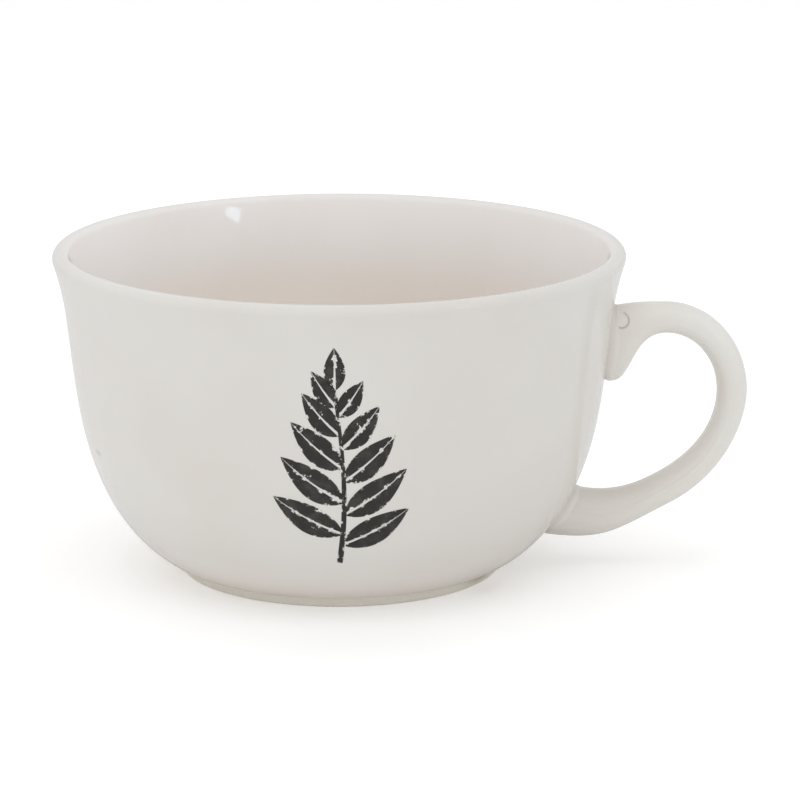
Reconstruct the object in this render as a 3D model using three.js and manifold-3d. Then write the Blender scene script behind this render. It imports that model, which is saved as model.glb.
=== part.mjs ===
// Soup bowl with one handle, in white-glazed stoneware. Millimetres, +Z up, handle towards +X.
// The bowl and the handle are formed apart, joined by two pads of slip, then coated with glaze.
import * as THREE from "three";
import { mergeVertices } from "three/addons/utils/BufferGeometryUtils.js";
import Module from "manifold-3d";

const wasm = await Module();
wasm.setup();

// Bowl, measured over the glaze
const RIM_DIAMETER = 140;
const HEIGHT = 80.2;
const LIP_THICKNESS = 4.1;
const LIP_LEAN = 17; // degrees outward from upright
const WAIST_DIAMETER = 128.6;
const WAIST_HEIGHT = 42;
const WAIST_LEAN = 8.6; // degrees outward from upright
const WALL_THICKNESS = 4.8;
const FLOOR_HEIGHT = 7.2; // of the inside floor over the table

// Foot ring, bare clay
const FOOT_DIAMETER = 79.2;
const FOOT_HEIGHT = 2.6;
const FOOT_WIDTH = 5;
const FOOT_EDGE = 0.8;
const RECESS_DEPTH = 1.8;
const RECESS_SLOPE = 1.5;
const BELLY_RISE = 5; // degrees from level, where the belly leaves the foot

// Handle, measured over the glaze
const HANDLE_DROP = 15.1; // from the rim to the top of the upper root
const HANDLE_REACH = 33.2; // from the wall at the upper root to the outermost point
const HANDLE_THICKNESS = 7.4;
const HANDLE_WIDTH = 10.6;
const CROWN_REACH = 13; // from the wall at the upper root to the top of the loop
const CROWN_RISE = 0.9; // of the loop over the upper root
const ARM_THICKNESS = 7.8;
const ARM_SLOPE = 28.2; // degrees from level
const UPPER_ROOT_HEIGHT = 18.2;
const UPPER_ROOT_WIDTH = 11.6;
const UPPER_ROOT_CLIMB = 11; // degrees, along its top
const UPPER_ROOT_DIP = 24; // degrees, along its underside
const LOWER_ROOT_LIFT = 7.75; // of its underside over the table
const LOWER_ROOT_HEIGHT = 11.7;
const LOWER_ROOT_WIDTH = 13;
const LOWER_ROOT_DIP = 8; // degrees, along its underside
const LOWER_ROOT_FALL = 16; // degrees, along its top

// Where the loop turns, as shares of the way from one named point to another
const KNUCKLE_SHARE = 0.38; // down from the crown to the lower root
const ARM_SHARE_IN = 0.36; // in from the knuckle to the lower root
const ARM_SHARE_UP = 0.215; // up from the lower root to the knuckle

// Pulls of each stretch at its two ends, as shares of its span
const BELLY_PULLS = [0.06, 0.7];
const WALL_PULLS = [0.55, 0.36];
const INNER_BELLY_PULLS = [0.47, 0.62];
const ROOT_TOP_PULLS = [0.5, 0.25];
const ROOT_UNDER_PULLS = [0.42, 0.5];
const OUTER_ELBOW_PULLS = [0.2, 0.47];
const OUTER_ARM_PULLS = [0.5, 0.49];
const INNER_ELBOW_PULLS = [0.44, 0.26];
const INNER_ARM_PULLS = [0.14, 0.52];

// Slip pads and glaze
const SLIP_THICKNESS = 1.5;
const SLIP_BEAD = 0.3; // that a pad stands proud of its root all round
const GLAZE_THICKNESS = 0.35;
const GLAZE_STOP = 0.4; // bare strip between the foot ring and the edge of the glaze
const JOINT_GAP = 0.3; // between pieces that are luted together
const BOND_GAP = 0.03; // between the glaze and the clay under it

// Fineness of the facets
const BOWL_SEGMENTS = 48;
const BELLY_STEPS = 9;
const WALL_STEPS = 5;
const LIP_STEP = 30; // degrees
const HANDLE_SIDES = 16;
const ROOT_STEPS = 10;
const CROWN_STEPS = 8;
const ARM_STEPS = 16;
const SECTION_POWER = 2.3; // 2 is an ellipse, higher is squarer

const RIM_RADIUS = RIM_DIAMETER / 2;
const WAIST_RADIUS = WAIST_DIAMETER / 2;
const FOOT_RADIUS = FOOT_DIAMETER / 2;
const LIP_RADIUS = LIP_THICKNESS / 2;

// Headings, in degrees anticlockwise from straight out
const UP = 90;
const IN = 180;
const DOWN = 270;

const point = (x, z) => new THREE.Vector2(x, z);

function heading(degrees) {
  const angle = THREE.MathUtils.degToRad(degrees);
  return point(Math.cos(angle), Math.sin(angle));
}

// A smooth stretch between two points, leaving and arriving on given headings.
function bend(from, fromHeading, to, toHeading, [fromPull, toPull]) {
  const span = from.distanceTo(to);
  const leave = from.clone().addScaledVector(heading(fromHeading), fromPull * span);
  const arrive = to.clone().addScaledVector(heading(toHeading), -toPull * span);
  return new THREE.CubicBezierCurve(from, leave, arrive, to);
}

// Moves an outline sideways, to the right of its own direction.
function parallel(outline, distance) {
  return outline.map((here, i) => {
    const before = outline[Math.max(i - 1, 0)];
    const after = outline[Math.min(i + 1, outline.length - 1)];
    const along = after.clone().sub(before).normalize();
    return point(here.x + along.y * distance, here.y - along.x * distance);
  });
}

// Outline of the bowl, from the edge of the glaze at the foot, over the lip, to the middle of the floor

const lipCentre = point(RIM_RADIUS - LIP_RADIUS, HEIGHT - LIP_RADIUS);
const onLip = (angle) => lipCentre.clone().addScaledVector(heading(angle), LIP_RADIUS);
const waist = point(WAIST_RADIUS, WAIST_HEIGHT);
const innerWaist = point(WAIST_RADIUS - WALL_THICKNESS, WAIST_HEIGHT);
const glazeEdge = point(FOOT_RADIUS + GLAZE_STOP, FOOT_HEIGHT);
const floorCentre = point(0, FLOOR_HEIGHT);
const waistUp = UP - WAIST_LEAN;
const waistDown = DOWN - WAIST_LEAN;

const belly = bend(glazeEdge, BELLY_RISE, waist, waistUp, BELLY_PULLS);
const wall = bend(waist, waistUp, onLip(-LIP_LEAN), UP - LIP_LEAN, WALL_PULLS);
const innerWall = bend(innerWaist, waistUp, onLip(IN - LIP_LEAN), UP - LIP_LEAN, WALL_PULLS);
const innerBelly = bend(innerWaist, waistDown, floorCentre, IN, INNER_BELLY_PULLS);

// Round of the lip, with points at its widest and at its top.
const lip = [];
for (let angle = 0; angle < IN - LIP_LEAN; angle += LIP_STEP) {
  lip.push(onLip(angle));
}

const outside = [...belly.getPoints(BELLY_STEPS), ...wall.getPoints(WALL_STEPS).slice(1)];
const insideWall = innerWall.getPoints(WALL_STEPS).reverse();
const insideBelly = innerBelly.getPoints(BELLY_STEPS).slice(1);
const finished = [...outside, ...lip, ...insideWall, ...insideBelly];

// Point of the finished outside at a height.
function onWall(height) {
  const above = outside.findIndex((p) => p.y > height);
  const low = outside[above - 1];
  const high = outside[above];
  return point(THREE.MathUtils.mapLinear(height, low.y, high.y, low.x, high.x), height);
}

// Solids

function turned(outline) {
  return new THREE.LatheGeometry(outline, BOWL_SEGMENTS).rotateX(Math.PI / 2);
}

function solid(geometry) {
  const bare = geometry.clone();
  bare.deleteAttribute("normal");
  bare.deleteAttribute("uv");
  const merged = mergeVertices(bare);
  const corners = merged.index.array;
  const triangles = [];
  for (let i = 0; i < corners.length; i += 3) {
    const [a, b, c] = corners.slice(i, i + 3);
    if (a !== b && b !== c && c !== a) {
      triangles.push(a, b, c);
    }
  }
  const vertProperties = new Float32Array(merged.attributes.position.array);
  const triVerts = new Uint32Array(triangles);
  return new wasm.Manifold(new wasm.Mesh({ numProp: 3, vertProperties, triVerts }));
}

function shape(manifold) {
  const { vertProperties, triVerts } = manifold.getMesh();
  const geometry = new THREE.BufferGeometry();
  geometry.setAttribute("position", new THREE.BufferAttribute(vertProperties, 3));
  geometry.setIndex(new THREE.BufferAttribute(triVerts, 1));
  geometry.computeVertexNormals();
  return geometry;
}

// The full round of the bowl, grown outward, to cut roots to the wall.
function jacket(growth) {
  const skin = parallel(outside, growth);
  const low = point(0, skin[0].y);
  const high = point(0, skin.at(-1).y);
  return solid(turned([low, ...skin, high]));
}

// Closed body through rings that have the same number of points.
function loft(rings) {
  const sides = rings[0].length;
  const hubs = [rings[0], rings.at(-1)].map((ring) => {
    const middle = new THREE.Vector3();
    ring.forEach((p) => middle.addScaledVector(p, 1 / sides));
    return middle;
  });
  const vertices = [...rings.flat(), ...hubs];
  const startHub = vertices.length - 2;
  const endHub = vertices.length - 1;
  const last = (rings.length - 1) * sides;
  const triangles = [];
  for (let side = 0; side < sides; side++) {
    const next = (side + 1) % sides;
    for (let row = 0; row < last; row += sides) {
      triangles.push(row + side, row + sides + next, row + next);
      triangles.push(row + side, row + sides + side, row + sides + next);
    }
    triangles.push(startHub, side, next);
    triangles.push(endHub, last + next, last + side);
  }
  const geometry = new THREE.BufferGeometry().setFromPoints(vertices);
  geometry.setIndex(triangles);
  return geometry;
}

// Outlines of the handle, outer and inner, from the upper root round to the lower one

const upperRootTop = onWall(HEIGHT - HANDLE_DROP);
const upperRootUnder = onWall(HEIGHT - HANDLE_DROP - UPPER_ROOT_HEIGHT);
const lowerRootUnder = onWall(LOWER_ROOT_LIFT);
const lowerRootTop = onWall(LOWER_ROOT_LIFT + LOWER_ROOT_HEIGHT);
const crown = point(upperRootTop.x + CROWN_REACH, upperRootTop.y + CROWN_RISE);
const knuckle = point(
  upperRootTop.x + HANDLE_REACH,
  THREE.MathUtils.lerp(crown.y, lowerRootUnder.y, KNUCKLE_SHARE),
);
const arm = point(
  THREE.MathUtils.lerp(knuckle.x, lowerRootUnder.x, ARM_SHARE_IN),
  THREE.MathUtils.lerp(lowerRootUnder.y, knuckle.y, ARM_SHARE_UP),
);
const innerCrown = point(crown.x, crown.y - HANDLE_THICKNESS);
const innerKnuckle = point(knuckle.x - HANDLE_THICKNESS, knuckle.y);
const innerArm = arm.clone().addScaledVector(heading(UP + ARM_SLOPE), ARM_THICKNESS);
const alongArm = IN + ARM_SLOPE;

function quarter(top, side) {
  return new THREE.EllipseCurve(top.x, side.y, side.x - top.x, top.y - side.y, Math.PI / 2, 0, true);
}

function stretch(...curves) {
  const path = new THREE.CurvePath();
  curves.forEach((curve) => path.add(curve));
  return path;
}

const outerStretches = [
  stretch(bend(upperRootTop, UPPER_ROOT_CLIMB, crown, 0, ROOT_TOP_PULLS)),
  stretch(quarter(crown, knuckle)),
  stretch(
    bend(knuckle, DOWN, arm, alongArm, OUTER_ELBOW_PULLS),
    bend(arm, alongArm, lowerRootUnder, IN - LOWER_ROOT_DIP, OUTER_ARM_PULLS),
  ),
];
const innerStretches = [
  stretch(bend(upperRootUnder, -UPPER_ROOT_DIP, innerCrown, 0, ROOT_UNDER_PULLS)),
  stretch(quarter(innerCrown, innerKnuckle)),
  stretch(
    bend(innerKnuckle, DOWN, innerArm, alongArm, INNER_ELBOW_PULLS),
    bend(innerArm, alongArm, lowerRootTop, IN - LOWER_ROOT_FALL, INNER_ARM_PULLS),
  ),
];
const stretchSteps = [ROOT_STEPS, CROWN_STEPS, ARM_STEPS];

// Points along one outline, with both ends run on into the wall of the bowl.
function sideLine(stretches) {
  const line = stretches.flatMap((path, i) => path.getSpacedPoints(stretchSteps[i]).slice(i ? 1 : 0));
  const sink = WALL_THICKNESS / 2;
  const runOn = (end, before) => end.clone().add(end.clone().sub(before).setLength(sink));
  return [runOn(line[0], line[1]), ...line, runOn(line.at(-1), line.at(-2))];
}

const outerLine = sideLine(outerStretches);
const innerLine = sideLine(innerStretches);
const lastRow = outerLine.length - 1;
const upperRootRows = Math.ceil(ROOT_STEPS / 2);
const lowerRootRows = Math.ceil(ARM_STEPS / 2);

// Width across the handle at a row of its outlines: wide at the roots, even round the loop.
function handleWidth(row) {
  const upper = 1 - THREE.MathUtils.smoothstep(row, 1, ROOT_STEPS);
  const lower = 1 - THREE.MathUtils.smoothstep(lastRow - row, 1, lowerRootRows);
  const upperGain = upper * (UPPER_ROOT_WIDTH - HANDLE_WIDTH);
  const lowerGain = lower * (LOWER_ROOT_WIDTH - HANDLE_WIDTH);
  return HANDLE_WIDTH + upperGain + lowerGain;
}

const rounded = (part) => Math.sign(part) * Math.abs(part) ** (2 / SECTION_POWER);

// Section of the handle at a row, grown all round.
function section(row, growth) {
  const outer = outerLine[row];
  const inner = innerLine[row];
  const middle = outer.clone().add(inner).multiplyScalar(0.5);
  const out = outer.clone().sub(inner).normalize();
  const halfThickness = outer.distanceTo(inner) / 2 + growth;
  const halfWidth = handleWidth(row) / 2 + growth;
  return Array.from({ length: HANDLE_SIDES }, (_, side) => {
    const angle = (2 * Math.PI * side) / HANDLE_SIDES;
    const across = halfThickness * rounded(Math.cos(angle));
    const y = halfWidth * rounded(Math.sin(angle));
    return new THREE.Vector3(middle.x + out.x * across, y, middle.y + out.y * across);
  });
}

function handleLoft(growth, from = 0, to = lastRow) {
  const rings = [];
  for (let row = from; row <= to; row++) {
    rings.push(section(row, growth));
  }
  return solid(loft(rings));
}

const upperRoot = (growth) => handleLoft(growth, 0, upperRootRows);
const lowerRoot = (growth) => handleLoft(growth, lastRow - lowerRootRows);

// Layers outward from the clay of the wall: a pad of slip, then the handle, each with its gap

const clayDepth = GLAZE_THICKNESS + BOND_GAP;
const slipStart = JOINT_GAP - clayDepth;
const slipEnd = slipStart + SLIP_THICKNESS;
const handleStart = slipEnd + JOINT_GAP;

function bowlBody() {
  const clay = parallel(finished, -clayDepth);
  clay.at(-1).x = 0;
  const ringInner = FOOT_RADIUS - FOOT_WIDTH;
  const foot = [
    point(0, RECESS_DEPTH),
    point(ringInner - RECESS_SLOPE, RECESS_DEPTH),
    point(ringInner, 0),
    point(FOOT_RADIUS - FOOT_EDGE, 0),
    point(FOOT_RADIUS, FOOT_EDGE),
    point(FOOT_RADIUS, clay[0].y),
  ];
  return turned([...foot, ...clay]);
}

function bowlGlaze() {
  const under = parallel(finished, -GLAZE_THICKNESS).reverse();
  under[0].x = 0;
  const coat = solid(turned([...finished, ...under, finished[0]]));
  const windowGrowth = SLIP_BEAD + JOINT_GAP;
  return shape(coat.subtract(upperRoot(windowGrowth)).subtract(lowerRoot(windowGrowth)));
}

function baseGlaze() {
  const reach = FOOT_RADIUS - FOOT_WIDTH - RECESS_SLOPE - GLAZE_STOP;
  const top = RECESS_DEPTH - BOND_GAP;
  const bottom = top - GLAZE_THICKNESS;
  return turned([point(0, bottom), point(reach, bottom), point(reach, top), point(0, top)]);
}

function slipPad(root) {
  const layer = jacket(slipEnd).subtract(jacket(slipStart));
  return shape(root(SLIP_BEAD).intersect(layer));
}

function handle() {
  return shape(handleLoft(-clayDepth).subtract(jacket(handleStart)));
}

function handleGlaze() {
  const sleeve = handleLoft(0).subtract(handleLoft(-GLAZE_THICKNESS));
  return shape(sleeve.subtract(jacket(handleStart)));
}

// Assembly, with its origin on the table under the middle of its box

const CLAY = { color: 0xd8d0c4, roughness: 0.85, metalness: 0 };
const SLIP = { color: 0xdcd6cb, roughness: 0.6, metalness: 0 };
const GLAZE = { color: 0xe6e3dc, roughness: 0.14, metalness: 0 };

const part = new THREE.Group();
const bowl = new THREE.Group();
const widest = Math.max(...finished.map((p) => p.x));
bowl.position.x = (widest - knuckle.x) / 2;
part.add(bowl);

function add(name, geometry, finish) {
  const mesh = new THREE.Mesh(geometry, new THREE.MeshStandardMaterial(finish));
  mesh.name = name;
  bowl.add(mesh);
}

add("bowl_body", bowlBody(), CLAY);
add("bowl_glaze", bowlGlaze(), GLAZE);
add("base_glaze", baseGlaze(), GLAZE);
add("upper_slip_joint", slipPad(upperRoot), SLIP);
add("lower_slip_joint", slipPad(lowerRoot), SLIP);
add("handle", handle(), CLAY);
add("handle_glaze", handleGlaze(), GLAZE);

export default part;
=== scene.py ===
import math

import bpy
import bmesh
import numpy as np
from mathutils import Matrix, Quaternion, Vector


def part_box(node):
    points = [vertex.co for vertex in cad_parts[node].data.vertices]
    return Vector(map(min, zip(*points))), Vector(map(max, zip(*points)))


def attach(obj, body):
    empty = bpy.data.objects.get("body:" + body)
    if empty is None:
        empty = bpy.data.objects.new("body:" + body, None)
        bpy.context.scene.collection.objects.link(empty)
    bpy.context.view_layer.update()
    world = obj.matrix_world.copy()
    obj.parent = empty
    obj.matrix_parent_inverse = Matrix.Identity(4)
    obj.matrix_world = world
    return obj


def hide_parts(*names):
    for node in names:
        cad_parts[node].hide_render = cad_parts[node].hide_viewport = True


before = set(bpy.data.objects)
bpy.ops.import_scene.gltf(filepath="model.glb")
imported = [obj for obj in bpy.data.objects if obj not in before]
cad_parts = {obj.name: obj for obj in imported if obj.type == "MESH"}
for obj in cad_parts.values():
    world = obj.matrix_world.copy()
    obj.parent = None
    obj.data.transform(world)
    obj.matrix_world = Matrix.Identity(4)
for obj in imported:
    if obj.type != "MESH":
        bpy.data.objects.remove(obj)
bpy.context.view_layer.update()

MM = 0.001
UP = 90
IN = 180
DOWN = 270

# Sizes of the bowl in millimetres, with the bowl's axis at x = 0 and the table at z = 0

RIM_RADIUS = 70.0
HEIGHT = 80.2
LIP_RADIUS = 2.05
LIP_LEAN = 17
LIP_ROWS = 36
WAIST_RADIUS = 64.3
WAIST_HEIGHT = 42.0
WAIST_LEAN = 8.6
WALL_THICKNESS = 4.8
WALL_ROWS = 110
FLOOR_HEIGHT = 7.2
FOOT_RADIUS = 39.6
FOOT_WIDTH = 5.0
FOOT_EDGE = 0.8
BAND_RADIUS = 41.8
BAND_TURN = 212
BAND_PULLS = (0.4, 0.2)
BAND_STEP = 0.04
BAND_GROOVE = 0.2
BAND_ROWS = 24
STANDING_RADIUS = 39.0
RECESS_DEPTH = 1.8
RECESS_SLOPE = 1.5
RECESS_PULLS = (0.5, 0.4)
RECESS_ROWS = 12
BELLY_START = 2.0
BELLY_RISE = 22
BELLY_PULLS = (0.06, 0.7)
WALL_PULLS = (0.55, 0.36)
INNER_BELLY_PULLS = (0.47, 0.62)
COAT = 0.35
COAT_STOP = 0.4
COAT_EDGE_ROWS = 8
BOND = 0.03

# Sizes of the handle

HANDLE_DROP = 15.1
HANDLE_REACH = 33.2
HANDLE_THICKNESS = 7.4
HANDLE_WIDTH = 10.6
CROWN_REACH = 13.0
CROWN_RISE = 0.9
ARM_THICKNESS = 7.8
ARM_SLOPE = 28.2
UPPER_ROOT_HEIGHT = 18.2
UPPER_ROOT_WIDTH = 11.6
UPPER_ROOT_CLIMB = 11
UPPER_ROOT_DIP = 24
LOWER_ROOT_LIFT = 7.75
LOWER_ROOT_HEIGHT = 11.7
LOWER_ROOT_WIDTH = 13.0
LOWER_ROOT_DIP = 8
LOWER_ROOT_FALL = 16
KNUCKLE_SHARE = 0.38
ARM_SHARE_IN = 0.36
ARM_SHARE_UP = 0.215
ROOT_TOP_PULLS = (0.5, 0.25)
ROOT_UNDER_PULLS = (0.42, 0.5)
OUTER_ELBOW_PULLS = (0.2, 0.47)
OUTER_ARM_PULLS = (0.5, 0.49)
INNER_ELBOW_PULLS = (0.44, 0.26)
INNER_ARM_PULLS = (0.14, 0.52)
SECTION_POWER = 2.3

axis_x = sum(corner.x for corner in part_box("bowl_body")) / 2


# Lines in the plane of the handle, x outward and z up


def heading(degrees):
    angle = math.radians(degrees)
    return np.array([math.cos(angle), math.sin(angle)])


def bend(start, leaving, end, arriving, pulls, steps=400):
    start, end = np.array(start, float), np.array(end, float)
    span = np.linalg.norm(end - start)
    first = start + heading(leaving) * span * pulls[0]
    second = end - heading(arriving) * span * pulls[1]
    t = np.linspace(0, 1, steps + 1)[:, None]
    ends = (1 - t) ** 3 * start + t**3 * end
    return ends + 3 * (1 - t) ** 2 * t * first + 3 * (1 - t) * t**2 * second


def arc(centre, radius, start, end, steps):
    angles = np.radians(np.linspace(start, end, steps + 1))
    return np.array(centre) + radius * np.stack([np.cos(angles), np.sin(angles)], 1)


def joined(*lines):
    return np.concatenate([lines[0]] + [line[1:] for line in lines[1:]])


def travelled(line):
    """Distance along a line to each of its points."""
    return np.concatenate([[0], np.cumsum(np.linalg.norm(np.diff(line, axis=0), axis=1))])


def spaced(line, steps):
    """The line with its points set at even distances."""
    far = travelled(line)
    stops = np.linspace(0, far[-1], steps + 1)
    return np.stack([np.interp(stops, far, line[:, k]) for k in range(2)], 1)


def parallel(line, distance):
    """The line set off to its right by a distance, kept off the far side of the axis."""
    along = np.gradient(line, axis=0)
    along /= np.linalg.norm(along, axis=1)[:, None]
    moved = line + distance * np.stack([along[:, 1], -along[:, 0]], 1)
    moved[:, 0] = np.maximum(moved[:, 0], 0)
    moved[line[:, 0] < 1e-6, 0] = 0
    return moved


def ease(value, low, high):
    share = np.clip((np.asarray(value, float) - low) / (high - low), 0, 1)
    return share * share * (3 - 2 * share)


lip_centre = np.array([RIM_RADIUS - LIP_RADIUS, HEIGHT - LIP_RADIUS])
waist = np.array([WAIST_RADIUS, WAIST_HEIGHT])
inner_waist = waist - np.array([WALL_THICKNESS, 0])
wall_up = UP - WAIST_LEAN
lip_up = UP - LIP_LEAN
outer_lip = lip_centre + LIP_RADIUS * heading(-LIP_LEAN)
inner_lip = lip_centre + LIP_RADIUS * heading(IN - LIP_LEAN)

belly = bend((FOOT_RADIUS + COAT_STOP, BELLY_START), BELLY_RISE, waist, wall_up, BELLY_PULLS)
belly = belly[belly[:, 0] > BAND_RADIUS]
wall = bend(waist, wall_up, outer_lip, lip_up, WALL_PULLS)
lip = arc(lip_centre, LIP_RADIUS, -LIP_LEAN, IN - LIP_LEAN, LIP_ROWS)
inner_wall = bend(inner_waist, wall_up, inner_lip, lip_up, WALL_PULLS)[::-1]
inner_belly = bend(inner_waist, DOWN - WAIST_LEAN, (0, FLOOR_HEIGHT), IN, INNER_BELLY_PULLS)
outside = joined(spaced(joined(belly, wall), WALL_ROWS), lip)
inside = spaced(joined(inner_wall, inner_belly), WALL_ROWS)
skin = joined(outside, inside)
outer_face = outside[: WALL_ROWS + 1]


def wall_radius(height):
    return np.interp(height, outer_face[:, 1], outer_face[:, 0])


def wall_point(height):
    return np.array([wall_radius(height), height])


# Meshes


def mesh_object(name, points, faces):
    """A smooth mesh from points in millimetres about the bowl's axis."""
    data = bpy.data.meshes.new(name)
    placed = np.asarray(points, float) * MM + np.array([axis_x, 0, 0])
    data.from_pydata(placed.tolist(), [], faces)
    work = bmesh.new()
    work.from_mesh(data)
    bmesh.ops.recalc_face_normals(work, faces=work.faces)
    work.to_mesh(data)
    work.free()
    data.polygons.foreach_set("use_smooth", np.ones(len(data.polygons), bool))
    made = bpy.data.objects.new(name, data)
    bpy.context.scene.collection.objects.link(made)
    return made


def lofted(name, rings, hubs):
    """A closed solid through rings of points, with a hub to close each end."""
    rows, sides = rings.shape[:2]
    points = np.concatenate([rings.reshape(-1, 3), hubs])
    first_hub = rows * sides
    last = (rows - 1) * sides
    faces = []
    for side in range(sides):
        after = (side + 1) % sides
        faces.append((first_hub, after, side))
        faces.append((first_hub + 1, last + side, last + after))
        for row in range(0, last, sides):
            faces.append((row + side, row + after, row + sides + after, row + sides + side))
    return mesh_object(name, points, faces)


def turned(name, line, segments):
    """A solid turned about the axis from a line whose two ends lie on it."""
    turns = np.linspace(0, 2 * math.pi, segments, endpoint=False)
    ring = line[1:-1]
    x = ring[:, :1] * np.cos(turns)
    y = ring[:, :1] * np.sin(turns)
    z = np.repeat(ring[:, 1:], segments, 1)
    hubs = [[0, 0, line[0, 1]], [0, 0, line[-1, 1]]]
    return lofted(name, np.stack([x, y, z], 2), hubs)


# Bowl: clay body with its foot ring, coat of glaze, glazed patch in the recess

BOWL_SEGMENTS = 288
edge_rise = math.degrees(math.atan2(*(skin[1] - skin[0])[::-1]))
inward = heading(UP + edge_rise)
footward = heading(IN + edge_rise)
coat_edge_centre = skin[0] + COAT / 2 * inward
coat_edge = arc(coat_edge_centre, COAT / 2, DOWN + edge_rise, UP + edge_rise, COAT_EDGE_ROWS)
coat_line = np.concatenate([skin[::-1], coat_edge[1:-1], parallel(skin, -COAT)])
bowl_coat = turned("bowl_coat", coat_line, BOWL_SEGMENTS)

clay_skin = parallel(skin, -COAT - BOND)
band_top = skin[0] + BAND_STEP * inward + BAND_GROOVE * footward
ring_inner = FOOT_RADIUS - FOOT_WIDTH
recess_edge = (ring_inner - RECESS_SLOPE, RECESS_DEPTH)
foot_line = np.concatenate(
    [
        [clay_skin[0] + BAND_GROOVE * footward],
        bend(band_top, BAND_TURN, (STANDING_RADIUS, 0), IN, BAND_PULLS, BAND_ROWS),
        [[FOOT_RADIUS - FOOT_WIDTH / 2, 0]],
        bend((ring_inner + FOOT_EDGE, 0), IN, recess_edge, IN, RECESS_PULLS, RECESS_ROWS),
        [[ring_inner / 2, RECESS_DEPTH], [0, RECESS_DEPTH]],
    ]
)
bowl_clay = turned("bowl_clay", np.concatenate([clay_skin[::-1], foot_line]), BOWL_SEGMENTS)

patch_radius = recess_edge[0] - 2 * COAT_STOP
patch_level = RECESS_DEPTH - BOND
patch_line = np.concatenate(
    [
        [[0, patch_level], [patch_radius / 2, patch_level]],
        arc((patch_radius, patch_level - COAT / 2), COAT / 2, UP, -UP, COAT_EDGE_ROWS),
        [[patch_radius / 2, patch_level - COAT], [0, patch_level - COAT]],
    ]
)
base_coat = turned("base_coat", patch_line, BOWL_SEGMENTS)

# Handle: outer and inner lines from the upper root round to the lower one

upper_top = wall_point(HEIGHT - HANDLE_DROP)
upper_under = wall_point(HEIGHT - HANDLE_DROP - UPPER_ROOT_HEIGHT)
lower_under = wall_point(LOWER_ROOT_LIFT)
lower_top = wall_point(LOWER_ROOT_LIFT + LOWER_ROOT_HEIGHT)
crown = upper_top + np.array([CROWN_REACH, CROWN_RISE])
knuckle_height = crown[1] + KNUCKLE_SHARE * (lower_under[1] - crown[1])
knuckle = np.array([upper_top[0] + HANDLE_REACH, knuckle_height])
arm_shares = np.array([1 - ARM_SHARE_IN, ARM_SHARE_UP])
arm = lower_under + arm_shares * (knuckle - lower_under)
inner_crown = crown - np.array([0, HANDLE_THICKNESS])
inner_knuckle = knuckle - np.array([HANDLE_THICKNESS, 0])
inner_arm = arm + ARM_THICKNESS * heading(UP + ARM_SLOPE)
along_arm = IN + ARM_SLOPE
ROOT_ROWS = 130
CROWN_ROWS = 64
ARM_ROWS = 150
SINK = 2.4
SINK_ROWS = 4


def quarter(top, side, points=200):
    angles = np.linspace(math.pi / 2, 0, points)
    reach = np.array([side[0] - top[0], top[1] - side[1]])
    return np.array([top[0], side[1]]) + reach * np.stack([np.cos(angles), np.sin(angles)], 1)


def side_line(root, loop, arm_line):
    """One outline of the handle, run on into the wall at both ends."""
    line = joined(spaced(root, ROOT_ROWS), spaced(loop, CROWN_ROWS), spaced(arm_line, ARM_ROWS))
    start, end = line[0] - line[SINK_ROWS], line[-1] - line[-1 - SINK_ROWS]
    start = line[0] + SINK * start / np.linalg.norm(start)
    end = line[-1] + SINK * end / np.linalg.norm(end)
    return np.concatenate([[start], line, [end]])


outer_line = side_line(
    bend(upper_top, UPPER_ROOT_CLIMB, crown, 0, ROOT_TOP_PULLS),
    quarter(crown, knuckle),
    joined(
        bend(knuckle, DOWN, arm, along_arm, OUTER_ELBOW_PULLS),
        bend(arm, along_arm, lower_under, IN - LOWER_ROOT_DIP, OUTER_ARM_PULLS),
    ),
)
inner_line = side_line(
    bend(upper_under, -UPPER_ROOT_DIP, inner_crown, 0, ROOT_UNDER_PULLS),
    quarter(inner_crown, inner_knuckle),
    joined(
        bend(inner_knuckle, DOWN, inner_arm, along_arm, INNER_ELBOW_PULLS),
        bend(inner_arm, along_arm, lower_top, IN - LOWER_ROOT_FALL, INNER_ARM_PULLS),
    ),
)
rows = np.arange(len(outer_line))
last_row = rows[-1]
UPPER_WIDE_ROWS = 0.9 * ROOT_ROWS
LOWER_WIDE_ROWS = 0.44 * ARM_ROWS
upper_gain = (1 - ease(rows, 1, UPPER_WIDE_ROWS)) * (UPPER_ROOT_WIDTH - HANDLE_WIDTH)
lower_gain = (1 - ease(last_row - rows, 1, LOWER_WIDE_ROWS)) * (LOWER_ROOT_WIDTH - HANDLE_WIDTH)
half_width = (HANDLE_WIDTH + upper_gain + lower_gain) / 2

# The seam stands up as a soft ridge along both faces, set a little towards the loop
RIDGE_HEIGHT = 0.2
RIDGE_WIDTH = 0.42
RIDGE_SHIFT = 0.7
RIDGE_ROOT_SHIFT = 2.0
RIDGE_SHIFT_ROWS = 70
RIDGE_GROW_ROWS = 60
RIDGE_SINK_ROWS = 25
RIDGE_SINK_SHARE = 0.6
RIDGE_TOP_SHARE = 0.35
RIDGE_TOP_FROM = (60, 110)
RIDGE_TOP_TO = (ROOT_ROWS + 10, ROOT_ROWS + 50)
arm_start = ROOT_ROWS + CROWN_ROWS
at_root = ease(rows, last_row - RIDGE_SHIFT_ROWS, last_row)
ridge_shift = RIDGE_SHIFT + (RIDGE_ROOT_SHIFT - RIDGE_SHIFT) * at_root
ridge_sunk = RIDGE_SINK_SHARE * ease(rows, last_row - RIDGE_SINK_ROWS, last_row)
ridge_arm = ease(rows, arm_start, arm_start + RIDGE_GROW_ROWS) * (1 - ridge_sunk)
ridge_top = RIDGE_TOP_SHARE * ease(rows, *RIDGE_TOP_FROM) * (1 - ease(rows, *RIDGE_TOP_TO))
ridge_rise = RIDGE_HEIGHT * (ridge_arm + ridge_top)

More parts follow.
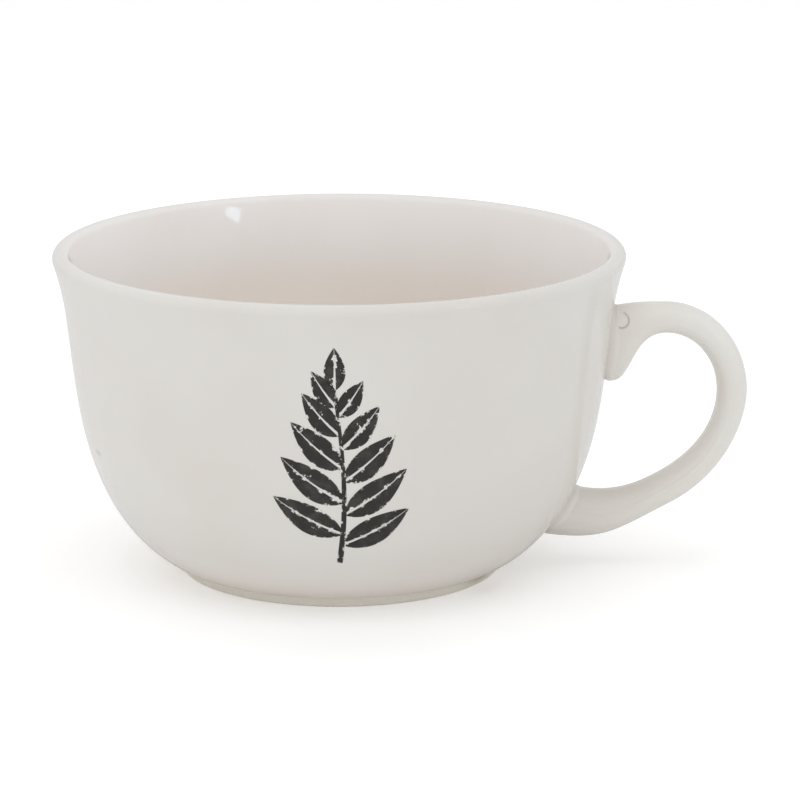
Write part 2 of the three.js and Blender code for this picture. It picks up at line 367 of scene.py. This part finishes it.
# A finger mark is pressed into the near face beside the upper root, open towards the bowl
MARK_CENTRE = (68.9, 62.4)
MARK_RADIUS = 1.76
MARK_DEPTH = 0.3
MARK_WIDTH = 0.22
MARK_FROM = -140
MARK_TO = 85
MARK_FADE = 20

# Degrees round a section: close together at the mark and along the ridges
NEAR_RIDGE_ANGLES = np.arange(-112, -87, 1.0)
FAR_RIDGE_ANGLES = np.arange(87, 112, 1.0)
MARK_ANGLES = np.linspace(-76, -38, 60)
ANGLE_GAP = 0.4
COAT_ANGLE_STEP = 2.5
CLAY_ANGLE_STEP = 10
CLAY_ROW_STEP = 3
BEAD_ANGLE_STEP = 2
fine_angles = [NEAR_RIDGE_ANGLES, MARK_ANGLES, FAR_RIDGE_ANGLES]
even_angles = np.arange(-180, 180, COAT_ANGLE_STEP)
for fine in fine_angles:
    below, above = even_angles < fine[0] - ANGLE_GAP, even_angles > fine[-1] + ANGLE_GAP
    even_angles = even_angles[below | above]
coat_angles = np.sort(np.concatenate([even_angles, *fine_angles]))
clay_angles = np.arange(-180, 180, CLAY_ANGLE_STEP)
bead_angles = np.arange(-180, 180, BEAD_ANGLE_STEP)


def rounded(part):
    return np.sign(part) * np.abs(part) ** (2 / SECTION_POWER)


def handle_rings(growth, degrees):
    """Sections of the handle, grown all round by a distance."""
    angles = np.radians(degrees)
    middle = (outer_line + inner_line) / 2
    out = outer_line - inner_line
    thick = np.linalg.norm(out, axis=1)[:, None]
    out = out / thick
    across = (thick / 2 + growth) * rounded(np.cos(angles))
    side = np.sign(np.sin(angles))
    y = (half_width[:, None] + growth) * rounded(np.sin(angles))
    off_ridge = (across + ridge_shift[:, None]) / RIDGE_WIDTH
    y = y + side * ridge_rise[:, None] * np.exp(-(off_ridge**2))
    x, z = (middle[:, k, None] + out[:, k, None] * across for k in range(2))
    return np.stack([x, y, z], 2)


def mark(points):
    """How deep the finger mark is at points, from 0 to 1."""
    dx, dz = points[..., 0] - MARK_CENTRE[0], points[..., 2] - MARK_CENTRE[1]
    turn = np.degrees(np.arctan2(dz, dx))
    begun = ease(turn, MARK_FROM, MARK_FROM + MARK_FADE)
    ended = ease(turn, MARK_TO - MARK_FADE, MARK_TO)
    off_line = np.hypot(dx, dz) - MARK_RADIUS
    return (points[..., 1] < 0) * begun * (1 - ended) * np.exp(-((off_line / MARK_WIDTH) ** 2))


def middles(rings):
    return [rings[0].mean(0), rings[-1].mean(0)]


coat_rings = handle_rings(0, coat_angles)
coat_mark = mark(coat_rings)
coat_rings[..., 1] += MARK_DEPTH * coat_mark
handle_coat = lofted("handle_coat", coat_rings, middles(coat_rings))
clay_rings = handle_rings(-COAT - BOND - MARK_DEPTH, clay_angles)[::CLAY_ROW_STEP]
handle_clay = lofted("handle_clay", clay_rings, middles(clay_rings))

# Slip beads: a soft collar round each root, between the wall and the handle

# Rows of a bead: distance off the wall, and growth past the handle in a collar and in a fillet
BEAD_OFF_WALL = [-0.6, 0.0, 0.1, 0.22, 0.4, 0.65, 1.0, 1.35, 1.7, 2.05, 2.35, 2.6, 2.7]
COLLAR_GROWTH = [0.4, 0.16, 0.14, 0.13, 0.14, 0.17, 0.22, 0.23, 0.17, 0.08, 0.02, -0.06, -0.5]
FILLET_GROWTH = [0.9, 0.62, 0.5, 0.42, 0.33, 0.24, 0.16, 0.1, 0.06, 0.03, 0.0, -0.06, -0.5]
BEAD_ROWS = 120
FILLET_SIDE = (0.2, 0.9)
COLLAR_REACH = 0.95
FILLET_REACH = 0.45
UNEVEN_REACH = 0.4

# Waves that make a bead uneven, as if laid by hand: how many, degrees of shift, depth
BEAD_WAVES = ((3, 40, 0.2), (7, 0, 0.12))

# A bead is a fillet on the outside of the handle and a raised collar elsewhere
fillet_share = ease(np.cos(np.radians(bead_angles)), *FILLET_SIDE)
bead_uneven = np.ones(len(bead_angles))
for waves, shift, depth in BEAD_WAVES:
    bead_uneven = bead_uneven + depth * np.sin(np.radians(waves * bead_angles + shift))
bead_reach = COLLAR_REACH + (FILLET_REACH - COLLAR_REACH) * fillet_share
bead_reach = bead_reach * (1 - UNEVEN_REACH + UNEVEN_REACH * bead_uneven)


def off_wall(points, step=0.1):
    """Distance outside the wall, measured square to it."""
    out = np.hypot(points[..., 0], points[..., 1])
    height = points[..., 2]
    slope = (wall_radius(height + step) - wall_radius(height - step)) / (2 * step)
    return (out - wall_radius(height)) / np.sqrt(1 + slope**2)


def slip_bead(name, way):
    """A collar about one root; way is 1 at the upper root and -1 at the lower one."""
    collar = []
    for level, collar_growth, fillet_growth in zip(BEAD_OFF_WALL, COLLAR_GROWTH, FILLET_GROWTH):
        growth = collar_growth * (1 - fillet_share) + fillet_growth * fillet_share
        growth = growth * bead_uneven if collar_growth > 0 else growth
        rings = handle_rings(growth, bead_angles)[::way][:BEAD_ROWS]
        gap = off_wall(rings)
        ring = []
        for side, reach in enumerate(bead_reach):
            stop = level * reach
            after = max(1, int(np.argmax(gap[:, side] > stop)))
            low, high = gap[after - 1, side], gap[after, side]
            share = np.clip((stop - low) / (high - low), 0, 1)
            ring.append(rings[after - 1, side] * (1 - share) + rings[after, side] * share)
        collar.append(ring)
    collar = np.array(collar)
    return lofted(name, collar, middles(collar))


upper_slip = slip_bead("upper_slip", 1)
lower_slip = slip_bead("lower_slip", -1)

# Print: a plain leafy sprig stamped on the front

PRINT_RISE = 0.05
PRINT_SINK = 0.05
PRINT_MIDDLE = 41.5
PRINT_ASIDE = 0.9
STEM_FOOT_WIDTH = 1.4
STEM_TIP_WIDTH = 0.7
STEM_LENGTH = 46.0
STEM_FOOT = -27.5
STEM_ROWS = 90
STEM_STRANDS = (-1, -0.5, 0, 0.5, 1)
STEM_SWAY = 2.0
STEM_SET = 1.0
STEM_BEND = 2.8
STEM_BEND_FROM = 0.4
LEAF_ROWS = 37
LEAF_STRANDS = 11
LEAF_SHOULDER = 0.8
LEAF_FULLNESS = 0.9
RIB_GAP = 0.3
RIB_TIP_GAP = 0.05
WORN_EDGE = 0.8
face_run = travelled(outer_face)
middle_run = np.interp(PRINT_MIDDLE, outer_face[:, 1], face_run)


def on_front(flat, rise, step=0.2):
    """Points of a flat drawing, across and up from its middle, laid on the front of the bowl."""
    run = middle_run + flat[:, 1]
    here = np.stack([np.interp(run, face_run, outer_face[:, k]) for k in range(2)], 1)
    ahead = np.stack([np.interp(run + step, face_run, outer_face[:, k]) for k in range(2)], 1)
    slope = ahead - here
    slope /= np.linalg.norm(slope, axis=1)[:, None]
    turn = (flat[:, 0] + PRINT_ASIDE) / here[:, 0]
    radius = here[:, 0] + rise * slope[:, 1]
    height = here[:, 1] - rise * slope[:, 0]
    return np.stack([radius * np.sin(turn), -radius * np.cos(turn), height], 1)


def thin_patch(grid):
    """Points and faces of a thin solid over a grid of flat points."""
    across, along = grid.shape[:2]
    flat = grid.reshape(-1, 2)
    points = np.concatenate([on_front(flat, PRINT_RISE), on_front(flat, -PRINT_SINK)])
    under = across * along
    faces = []
    for i in range(across - 1):
        for j in range(along - 1):
            a, b = i * along + j, (i + 1) * along + j
            faces.append((a, b, b + 1, a + 1))
            faces.append((under + a, under + a + 1, under + b + 1, under + b))
    border = [i * along for i in range(across)]
    border += [(across - 1) * along + j for j in range(1, along)]
    border += [i * along + along - 1 for i in range(across - 2, -1, -1)]
    border += list(range(along - 2, 0, -1))
    for a, b in zip(border, border[1:] + border[:1]):
        faces.append((a, under + a, under + b, b))
    return points, faces


def stem_point(share):
    """Points up the stem, from its foot at 0 to its tip at 1."""
    share = np.asarray(share, float)
    across = STEM_SWAY * np.sin(STEM_BEND * share + STEM_BEND_FROM) - STEM_SET
    return np.stack([across, STEM_FOOT + STEM_LENGTH * share], -1)


def half_leaf(base, direction, length, width, bow, side):
    """One half of a leaf beside its bare midrib."""
    t = np.linspace(0, 1, LEAF_ROWS)
    spread = np.linspace(0, 1, LEAF_STRANDS)[:, None]
    reach = heading(direction)
    square = np.array([-reach[1], reach[0]])
    spine = base + np.outer(t * length, reach) + np.outer(bow * t**2, square)
    full = width / 2 * np.sin(math.pi * t**LEAF_SHOULDER) ** LEAF_FULLNESS
    rib = np.minimum(RIB_GAP * (1 - t) + RIB_TIP_GAP, full)
    off_rib = rib + (full - rib) * spread
    return spine + side * off_rib[..., None] * square


def stem_strip():
    line = stem_point(np.linspace(0, 1, STEM_ROWS))
    along = np.gradient(line, axis=0)
    along /= np.linalg.norm(along, axis=1)[:, None]
    square = np.stack([-along[:, 1], along[:, 0]], 1)
    wide = np.linspace(STEM_FOOT_WIDTH, STEM_TIP_WIDTH, STEM_ROWS)[:, None]
    return np.stack([line + square * wide * k / 2 for k in STEM_STRANDS])


LEAVES = [
    # share of the stem, direction in degrees, length, width, bow
    (0.13, 24, 18.5, 7.4, 2.6),
    (0.20, 156, 19.0, 7.6, -2.6),
    (0.32, 30, 18.5, 7.4, 2.6),
    (0.39, 150, 18.5, 7.4, -2.6),
    (0.51, 36, 16.5, 6.8, 2.2),
    (0.58, 144, 16.5, 6.8, -2.2),
    (0.69, 42, 13.5, 6.0, 1.8),
    (0.76, 138, 13.5, 6.0, -1.8),
    (0.86, 50, 10.5, 5.0, 1.2),
    (0.91, 130, 10.5, 5.0, -1.2),
    (1.00, 88, 10.5, 5.0, 0.4),
]
grids = [stem_strip()]
for share, *leaf in LEAVES:
    grids.append(half_leaf(stem_point(share), *leaf, -1))
    grids.append(half_leaf(stem_point(share), *leaf, 1))
print_points, print_faces, print_edges = [], [], []
count = 0
for grid in grids:
    points, faces = thin_patch(grid)
    rim = np.concatenate([grid[0], grid[-1], grid[:, 0], grid[:, -1]])
    off_rim = np.linalg.norm(grid.reshape(-1, 1, 2) - rim, axis=2).min(1)
    print_points.append(points)
    print_edges.append(np.tile(1 - ease(off_rim, 0, WORN_EDGE), 2))
    print_faces += [tuple(k + count for k in face) for face in faces]
    count += len(points)
sprig = mesh_object("printed_sprig", np.concatenate(print_points), print_faces)

# Materials


def srgb(red, green, blue):
    parts = []
    for value in (red, green, blue):
        part = value / 255
        parts.append(part / 12.92 if part <= 0.04045 else ((part + 0.055) / 1.055) ** 2.4)
    return (*parts, 1.0)


OUTER_TONES = srgb(233, 230, 225), srgb(229, 224, 218), srgb(230, 229, 224)
# Warmer glaze near the foot, painted paler there as painted light
LOW_WARM_GLAZE_AND_PAINTED_LIGHT = srgb(247, 240, 232)
# Painted light: the handle's glaze is the bowl's, painted a little paler
HANDLE_PAINTED_LIGHT_TONES = srgb(236, 233, 228), srgb(232, 227, 220), srgb(233, 232, 226)
# Painted shade: the bowl darker towards its right side
PAINTED_RIGHT_SHADE_TONE = srgb(204, 199, 193)
# Painted light: the inside glaze painted paler than the outside
PAINTED_INSIDE_LIGHT_TONES = srgb(247, 244, 242), srgb(243, 238, 235), srgb(244, 243, 241)
# Painted shade: the inner wall browner lower down in the bowl
PAINTED_INSIDE_SHADE = srgb(244, 229, 213)
SPECK = srgb(150, 132, 112)
# Pooled glaze, also used for painted shade inside the loop and by the foot
POOLED_AND_PAINTED_SHADE = srgb(168, 146, 120)
CLAY_PALE = srgb(242, 236, 226)
CLAY_DARK = srgb(236, 229, 218)
INK = srgb(46, 44, 42)
INK_THIN = srgb(66, 63, 60)

# Where tones change, as heights in metres, and the share of the other tone
# Painted light: heights and share of the paler, warmer glaze near the foot
LOW_WARM_GLAZE_AND_PAINTED_LIGHT_HEIGHTS = (4 * MM, 16 * MM)
LOW_WARM_GLAZE_AND_PAINTED_LIGHT_SHARE = 0.8
# Painted shade inside: where the browner inner wall begins, and where it thins out towards the
# floor
PAINTED_INSIDE_SHADE_HEIGHTS = (56 * MM, 70 * MM)
PAINTED_INSIDE_SHADE_SHARE = 0.34
PAINTED_INSIDE_SHADE_FLOOR_HEIGHTS = (12 * MM, 45 * MM)
PAINTED_INSIDE_SHADE_FLOOR_SHARE = 0.5
# Painted shade: share of the darker tone at the right side
PAINTED_RIGHT_SHADE_SHARE = 0.16
MOTTLE_SHARE = 0.45

# A blemish in the fired glaze, and a patch of painted shade: centre, weights of x, y and z, reach
# and strength
SOFT_SPECK = (axis_x - 57.9 * MM, -24.7 * MM, 34.2 * MM), (1, 0.1, 1), 1.3 * MM, 0.3
# Painted shade: a brown darkening at the lower right edge, by the foot
LOW_EDGE_PAINTED_SHADE = (axis_x + 34.8 * MM, -23.6 * MM, 3.0 * MM), (0.5, 0.3, 1.2), 3.4 * MM, 0.7


def node_tree(name):
    material = bpy.data.materials.new(name)
    material.use_nodes = True
    tree = material.node_tree
    return material, tree, tree.nodes["Principled BSDF"]


def add(tree, kind, **values):
    node = tree.nodes.new(kind)
    for key, value in values.items():
        setattr(node, key, value)
    return node


def place_of(tree):
    return add(tree, "ShaderNodeTexCoord").outputs["Object"]


# Noise: scale, detail and roughness, with the range of values that counts
TONE_NOISE = (18.0, 2.0, 0.55), (0.35, 0.68)
MOTTLE_NOISE = (260.0, 3.0, 0.55), (0.4, 0.7)
GLOSS_NOISE = (120.0, 2.0, 0.55), (0.3, 0.7)
RIPPLE_NOISE = 420.0, 2.0, 0.55
GRAIN_NOISE = (2400.0, 4.0, 0.6), (0.35, 0.7)
INK_NOISE = (320.0, 4.0, 0.55), (0.45, 0.7)
WEAR_NOISE = (560.0, 5.0, 0.7), (0.65, 0.69)
EDGE_WEAR = 0.13

# Finish: reflection, roughness from and to, and bump as strength and height in metres
GLAZE_REFLECTION = 0.3
GLAZE_ROUGHNESS = (0.02, 0.05)
GLAZE_RIPPLE = (0.02, 0.2 * MM)
CLAY_ROUGHNESS = 0.85
CLAY_BUMP = (0.15, 0.1 * MM)


def noise(tree, place, scale, detail, rough):
    node = add(tree, "ShaderNodeTexNoise")
    node.inputs["Scale"].default_value = scale
    node.inputs["Detail"].default_value = detail
    node.inputs["Roughness"].default_value = rough
    tree.links.new(place, node.inputs["Vector"])
    return node.outputs["Fac"]


def graded(tree, value, low, high, to_low=0.0, to_high=1.0):
    node = add(tree, "ShaderNodeMapRange", interpolation_type="SMOOTHSTEP")
    ends = {"From Min": low, "From Max": high, "To Min": to_low, "To Max": to_high}
    for key, number in ends.items():
        node.inputs[key].default_value = number
    tree.links.new(value, node.inputs["Value"])
    return node.outputs["Result"]


def graded_noise(tree, place, pattern, counted, *results):
    return graded(tree, noise(tree, place, *pattern), *counted, *results)


def feed(tree, socket, value):
    if isinstance(value, bpy.types.NodeSocket):
        tree.links.new(value, socket)
    else:
        socket.default_value = value


def blended(tree, factor, first, second):
    node = add(tree, "ShaderNodeMix", data_type="RGBA")
    for socket, value in zip([node.inputs[k] for k in (0, 6, 7)], (factor, first, second)):
        feed(tree, socket, value)
    return node.outputs[2]


def maths(tree, operation, *values):
    node = add(tree, "ShaderNodeMath", operation=operation)
    for socket, value in zip(node.inputs, values):
        feed(tree, socket, value)
    return node.outputs["Value"]


def product(tree, first, second):
    return maths(tree, "MULTIPLY", first, second)


def bumped(tree, shader, height, strength, distance):
    node = add(tree, "ShaderNodeBump")
    node.inputs["Strength"].default_value = strength
    node.inputs["Distance"].default_value = distance
    tree.links.new(height, node.inputs["Height"])
    tree.links.new(node.outputs["Normal"], shader.inputs["Normal"])


def glaze_colour(tree, place, tones=OUTER_TONES):
    """Off-white glaze: slow drifts of tone and fine mottling."""
    pale, warm, cool = tones
    drift_and_painted_shade = graded_noise(tree, place, *TONE_NOISE)
    mottle = graded_noise(tree, place, *MOTTLE_NOISE)
    colour = blended(tree, drift_and_painted_shade, pale, warm)
    return blended(tree, product(tree, mottle, MOTTLE_SHARE), colour, cool)


def glaze_gloss(tree, place, shader):
    shader.inputs["Specular IOR Level"].default_value = GLAZE_REFLECTION
    uneven = graded_noise(tree, place, *GLOSS_NOISE, *GLAZE_ROUGHNESS)
    tree.links.new(uneven, shader.inputs["Roughness"])
    bumped(tree, shader, noise(tree, place, *RIPPLE_NOISE), *GLAZE_RIPPLE)


def blemish_and_painted_shade_spot(tree, place, colour, blemish_and_painted_shade_values, tone):
    """The colour with one soft spot of another tone, used for a blemish and for a patch of painted
    shade.
    """
    centre, weights, reach, strength = blemish_and_painted_shade_values
    off = add(tree, "ShaderNodeVectorMath", operation="SUBTRACT")
    tree.links.new(place, off.inputs[0])
    off.inputs[1].default_value = centre
    weighed = add(tree, "ShaderNodeVectorMath", operation="MULTIPLY")
    tree.links.new(off.outputs["Vector"], weighed.inputs[0])
    weighed.inputs[1].default_value = weights
    far = add(tree, "ShaderNodeVectorMath", operation="LENGTH")
    tree.links.new(weighed.outputs["Vector"], far.inputs[0])
    share = graded(tree, far.outputs["Value"], 0.0, reach, strength, 0.0)
    return blended(tree, share, colour, tone)


def glaze(name, tones=OUTER_TONES, pool_and_painted_shade=None, painted_inside_light=None):
    """Glaze on a piece; the two keywords name point layers: pooled glaze with painted shade, and
    the inside painted paler as painted light.
    """
    material, tree, shader = node_tree(name)
    place = place_of(tree)
    colour = glaze_colour(tree, place, tones)
    if painted_inside_light:
        spot = add(tree, "ShaderNodeSeparateXYZ")
        tree.links.new(place, spot.inputs["Vector"])
        height = spot.outputs["Z"]
        # Painted shade: the inner wall browner lower down, less of it on the floor
        painted_deep_shade = graded(tree, height, *PAINTED_INSIDE_SHADE_HEIGHTS, PAINTED_INSIDE_SHADE_SHARE, 0.0)
        off_floor = graded(tree, height, *PAINTED_INSIDE_SHADE_FLOOR_HEIGHTS, PAINTED_INSIDE_SHADE_FLOOR_SHARE, 1.0)
        # Painted light: the inside painted paler than the outside
        inner_tone = glaze_colour(tree, place, PAINTED_INSIDE_LIGHT_TONES)
        inner = blended(tree, product(tree, painted_deep_shade, off_floor), inner_tone, PAINTED_INSIDE_SHADE)
        # Painted light: the glaze paler and warmer towards the foot
        low = graded(tree, height, *LOW_WARM_GLAZE_AND_PAINTED_LIGHT_HEIGHTS, LOW_WARM_GLAZE_AND_PAINTED_LIGHT_SHARE, 0.0)
        colour = blended(tree, low, colour, LOW_WARM_GLAZE_AND_PAINTED_LIGHT)
        lined = add(tree, "ShaderNodeAttribute", attribute_name=painted_inside_light)
        colour = blended(tree, lined.outputs["Fac"], colour, inner)
        # Painted shade: darker towards the right side of the bowl
        left, right = axis_x - RIM_RADIUS * MM, axis_x + RIM_RADIUS * MM
        drift_and_painted_shade = graded(tree, spot.outputs["X"], left, right, 0.0, PAINTED_RIGHT_SHADE_SHARE)
        colour = blended(tree, drift_and_painted_shade, colour, PAINTED_RIGHT_SHADE_TONE)
        colour = blemish_and_painted_shade_spot(tree, place, colour, SOFT_SPECK, SPECK)
        # Painted shade at the lower right edge, by the foot
        colour = blemish_and_painted_shade_spot(tree, place, colour, LOW_EDGE_PAINTED_SHADE, POOLED_AND_PAINTED_SHADE)
    if pool_and_painted_shade:
        # Pooled glaze, with painted shade inside the loop
        depth = add(tree, "ShaderNodeAttribute", attribute_name=pool_and_painted_shade)
        colour = blended(tree, depth.outputs["Fac"], colour, POOLED_AND_PAINTED_SHADE)
    tree.links.new(colour, shader.inputs["Base Color"])
    glaze_gloss(tree, place, shader)
    return material


def clay():
    material, tree, shader = node_tree("bare_stoneware")
    place = place_of(tree)
    pattern, counted = GRAIN_NOISE
    grain = noise(tree, place, *pattern)
    colour = blended(tree, graded(tree, grain, *counted), CLAY_PALE, CLAY_DARK)
    # Painted shade at the lower right edge, by the foot
    colour = blemish_and_painted_shade_spot(tree, place, colour, LOW_EDGE_PAINTED_SHADE, POOLED_AND_PAINTED_SHADE)
    tree.links.new(colour, shader.inputs["Base Color"])
    shader.inputs["Roughness"].default_value = CLAY_ROUGHNESS
    bumped(tree, shader, grain, *CLAY_BUMP)
    return material


def ink():
    material, tree, shader = node_tree("stamped_print")
    place = place_of(tree)
    thin = graded_noise(tree, place, *INK_NOISE)
    colour = blended(tree, thin, INK, INK_THIN)
    edge = add(tree, "ShaderNodeAttribute", attribute_name="edge")
    pattern, counted = WEAR_NOISE
    patchy = noise(tree, place, *pattern)
    wear = maths(tree, "MULTIPLY_ADD", edge.outputs["Fac"], EDGE_WEAR, patchy)
    worn = graded(tree, wear, *counted)
    colour = blended(tree, worn, colour, glaze_colour(tree, place))
    tree.links.new(colour, shader.inputs["Base Color"])
    glaze_gloss(tree, place, shader)
    return material


def point_layer(piece, name, values):
    layer = piece.data.attributes.new(name, "FLOAT", "POINT")
    layer.data.foreach_set("value", np.asarray(values, np.float32))


# The inside is painted paler than the outside, as painted light, and this ends over the lip
PAINTED_INSIDE_LIGHT_FADE = (-2.4, 2.4)
past_top = travelled(skin) - travelled(skin)[np.argmax(skin[:, 1])]
painted_inside_light_rows = ease(past_top, *PAINTED_INSIDE_LIGHT_FADE)
painted_inside_light_rows = np.concatenate([painted_inside_light_rows[::-1], np.zeros(len(coat_line) - len(skin))])[1:-1]
point_layer(bowl_coat, "painted_inside_light", np.append(np.repeat(painted_inside_light_rows, BOWL_SEGMENTS), [1, 0]))

# Glaze pools browner at the wall and in the finger mark; inside the loop is faint painted shade,
# and the handle is faintly browner towards the lower root
POOL_WIDTH = 0.3
BEAD_POOL = 0.3
MARK_POOL = 0.42
UPPER_FILLET_POOL = 0.12
LOWER_FILLET_POOL = 0.4
# Painted shade on the inner side of the loop
LOOP_PAINTED_SHADE = 0.04
LOOP_PAINTED_SHADE_SIDE = (-0.2, 1.0)
ROOT_TINT = 0.06
ROOT_TINT_ROWS = (last_row - 80, last_row - 20)
bead_rows_pool = np.interp(BEAD_OFF_WALL, [0.0, POOL_WIDTH], [BEAD_POOL, 0.0])
bead_pool = np.repeat(bead_rows_pool, len(bead_angles))
inner_side = ease(-np.cos(np.radians(coat_angles)), *LOOP_PAINTED_SHADE_SIDE)
loop_painted_shade = LOOP_PAINTED_SHADE * ease(rows, ROOT_ROWS, arm_start)[:, None] * inner_side
root_tint = ROOT_TINT * ease(rows, *ROOT_TINT_ROWS)[:, None]
coat_pool_and_painted_shade = loop_painted_shade + root_tint + MARK_POOL * coat_mark
point_layer(handle_coat, "pool_and_painted_shade", np.append(coat_pool_and_painted_shade.ravel(), [0, 0]))
for slip, depth in ((upper_slip, UPPER_FILLET_POOL), (lower_slip, LOWER_FILLET_POOL)):
    fillet_pool = np.tile(depth * fillet_share, len(BEAD_OFF_WALL))
    point_layer(slip, "pool_and_painted_shade", np.append(np.maximum(bead_pool, fillet_pool), [0, 0]))
point_layer(sprig, "edge", np.concatenate(print_edges))

# Pieces, their finish and the part of the frame that each stands for

stoneware = clay()
handle_glaze = glaze("glaze_handle", HANDLE_PAINTED_LIGHT_TONES, pool_and_painted_shade="pool_and_painted_shade")
for piece, material, slot, node in (
    (bowl_clay, stoneware, "stoneware", "bowl_body"),
    (bowl_coat, glaze("glaze_bowl", painted_inside_light="painted_inside_light"), "glaze", "bowl_glaze"),
    (base_coat, glaze("glaze_base"), "glaze", "base_glaze"),
    (upper_slip, handle_glaze, "slip", "upper_slip_joint"),
    (lower_slip, handle_glaze, "slip", "lower_slip_joint"),
    (handle_clay, stoneware, "stoneware", "handle"),
    (handle_coat, handle_glaze, "glaze", "handle_glaze"),
    (sprig, ink(), "glaze", None),
):
    piece.data.materials.append(material)
    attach(piece, "root")
    if node:
        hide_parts(node)

# Floor and studio light

FLOOR_SIZE = 6.0
EVEN_LIGHT = 0.625
MIRRORED_LIGHT = 0.76
SEEN_LIGHT = 1.0
SIDE_LIGHT = -0.04
HORIZON_LIGHT = 1.095
HORIZON_FADE = 4.0
FLOOR_TONE = (0.95, 0.95, 0.95, 1)
FLOOR_ROUGHNESS = 0.9
FLOOR_LIFT = 0.27

bpy.ops.mesh.primitive_plane_add(size=FLOOR_SIZE, location=(0, 0, 0))
floor = bpy.context.object
floor.name = "floor"
paper, paper_tree, paper_shader = node_tree("white_paper")
paper_shader.inputs["Base Color"].default_value = FLOOR_TONE
paper_shader.inputs["Roughness"].default_value = FLOOR_ROUGHNESS
rays = add(paper_tree, "ShaderNodeLightPath").outputs
lift = add(paper_tree, "ShaderNodeEmission")
seen_lift = product(paper_tree, rays["Is Camera Ray"], FLOOR_LIFT)
paper_tree.links.new(seen_lift, lift.inputs["Strength"])
both = add(paper_tree, "ShaderNodeAddShader")
paper_tree.links.new(paper_shader.outputs["BSDF"], both.inputs[0])
paper_tree.links.new(lift.outputs["Emission"], both.inputs[1])
paper_tree.links.new(both.outputs["Shader"], paper_tree.nodes["Material Output"].inputs["Surface"])
floor.data.materials.append(paper)

scene = bpy.context.scene
scene.view_settings.view_transform = "Standard"
scene.world = bpy.data.worlds.new("studio")
scene.world.use_nodes = True
sky = scene.world.node_tree
background = sky.nodes["Background"]
background.inputs["Color"].default_value = (1, 1, 1, 1)
direction = add(sky, "ShaderNodeSeparateXYZ")
sky.links.new(add(sky, "ShaderNodeTexCoord").outputs["Generated"], direction.inputs["Vector"])
low_down = maths(sky, "SUBTRACT", 1.0, maths(sky, "MAXIMUM", direction.outputs["Z"], 0.0))
horizon = maths(sky, "POWER", low_down, HORIZON_FADE)
tent = maths(sky, "MULTIPLY_ADD", horizon, HORIZON_LIGHT, EVEN_LIGHT)
tent = maths(sky, "MULTIPLY_ADD", direction.outputs["X"], SIDE_LIGHT, tent)
for ray, strength in (("Is Glossy Ray", MIRRORED_LIGHT), ("Is Camera Ray", SEEN_LIGHT)):
    shown = add(sky, "ShaderNodeMix")
    sky.links.new(add(sky, "ShaderNodeLightPath").outputs[ray], shown.inputs["Factor"])
    sky.links.new(tent, shown.inputs["A"])
    shown.inputs["B"].default_value = strength
    tent = shown.outputs["Result"]
sky.links.new(tent, background.inputs["Strength"])


def softbox(name, place, aim, size, power, turn=0, mirrored=True):
    data = bpy.data.lights.new(name, "AREA")
    data.shape = "RECTANGLE"
    data.size, data.size_y = size
    data.energy = power
    lamp = bpy.data.objects.new(name, data)
    lamp.location = place
    facing = (Vector(aim) - Vector(place)).to_track_quat("-Z", "Y")
    lamp.rotation_euler = (facing @ Quaternion((0, 0, 1), math.radians(turn))).to_euler()
    lamp.visible_glossy = mirrored
    scene.collection.objects.link(lamp)
    return data


# The window gives the one glint inside the rim, and the overhead box the soft light from above
WINDOW_PLACE = (axis_x + 1.08, -0.87, 0.58)
WINDOW_AIM = (axis_x - 0.028, 0.06, 0.077)
WINDOW_SIZE = (0.165, 0.105)
WINDOW_POWER = 0.42
WINDOW_TURN = 20
WINDOW_COLOUR = (0.6, 0.83, 1.0)
OVERHEAD_PLACE = (axis_x, -0.1, 1.2)
OVERHEAD_AIM = (axis_x, 0.0, 0.0)
OVERHEAD_SIZE = (0.9, 0.9)
OVERHEAD_POWER = 2.9
window = softbox("window", WINDOW_PLACE, WINDOW_AIM, WINDOW_SIZE, WINDOW_POWER, WINDOW_TURN)
window.color = WINDOW_COLOUR
softbox("overhead", OVERHEAD_PLACE, OVERHEAD_AIM, OVERHEAD_SIZE, OVERHEAD_POWER, mirrored=False)

# Camera at the photograph's height and distance

VIEW_ELEVATION = math.radians(13.86)
VIEW_DISTANCE = 0.926
TARGET = Vector((axis_x + 0.0148, 0, 0.0413))
LENS = 168.8
SENSOR_WIDTH = 36.0
camera_data = bpy.data.cameras.new("camera")
camera_data.lens = LENS
camera_data.sensor_width = SENSOR_WIDTH
camera = bpy.data.objects.new("camera", camera_data)
back = Vector((0, -math.cos(VIEW_ELEVATION), math.sin(VIEW_ELEVATION)))
camera.location = TARGET + back * VIEW_DISTANCE
camera.rotation_euler = (-back).to_track_quat("-Z", "Y").to_euler()
scene.collection.objects.link(camera)
scene.camera = camera
